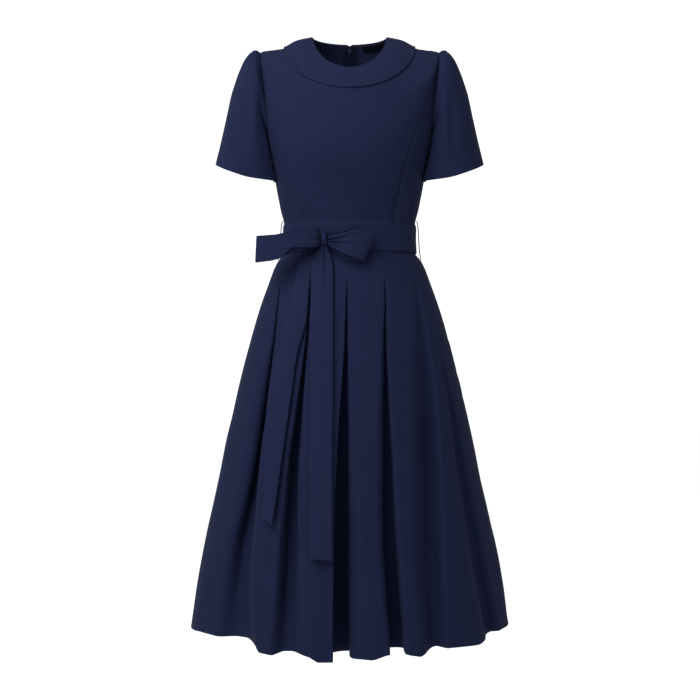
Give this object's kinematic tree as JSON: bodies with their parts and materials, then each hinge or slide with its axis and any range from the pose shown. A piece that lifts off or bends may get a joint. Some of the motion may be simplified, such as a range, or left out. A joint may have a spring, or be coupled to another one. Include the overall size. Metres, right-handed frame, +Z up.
{
  "type": "a-line dress",
  "caption": "Hollow short-sleeved a-line dress in woven cloth, with a round collar, princess seams, a pleated skirt, a tied belt and a closed back zip whose pull tab lifts.",
  "frame": {"origin": "between the two highest points of the neck, where the shoulders carry the dress", "axes": "+Z up towards the shoulders, the front looks to -Y, +X is the right-hand side seen from the front"},
  "size_m": [0.5807, 0.4945, 1.1054],
  "materials": {
    "navy crepe": "matt woven crepe",
    "belt cloth": "matt woven crepe, doubled",
    "black label": "smooth woven tape",
    "zip tape": "matt woven tape",
    "zip metal": "satin lacquer"
  },
  "bodies": {
    "dress": {"belt_band": "belt cloth", "belt_carrier_left": "belt cloth", "belt_carrier_right": "belt cloth", "belt_tail_left": "belt cloth", "belt_tail_right": "belt cloth", "bodice_back_left": "navy crepe", "bodice_back_right": "navy crepe", "bodice_front_centre": "navy crepe", "bodice_side_front_left": "navy crepe", "bodice_side_front_right": "navy crepe", "bow_knot": "belt cloth", "bow_loop_left": "belt cloth", "bow_loop_right": "belt cloth", "collar": "navy crepe", "neck_label": "black label", "skirt_back_left": "navy crepe", "skirt_back_right": "navy crepe", "skirt_front": "navy crepe", "sleeve_left": "navy crepe", "sleeve_right": "navy crepe", "zip_slider": "zip metal", "zip_tape_left": "zip tape", "zip_tape_right": "zip tape"},
    "zip_pull": {"zip_pull": "zip metal"}
  },
  "joints": [
    {"name": "zip_pull_hinge", "type": "hinge", "parent": "dress", "child": "zip_pull", "pos_m": [0, 0.06174, -0.00788], "axis": [1, 0, 0], "range_deg": [0, 150]}
  ]
}
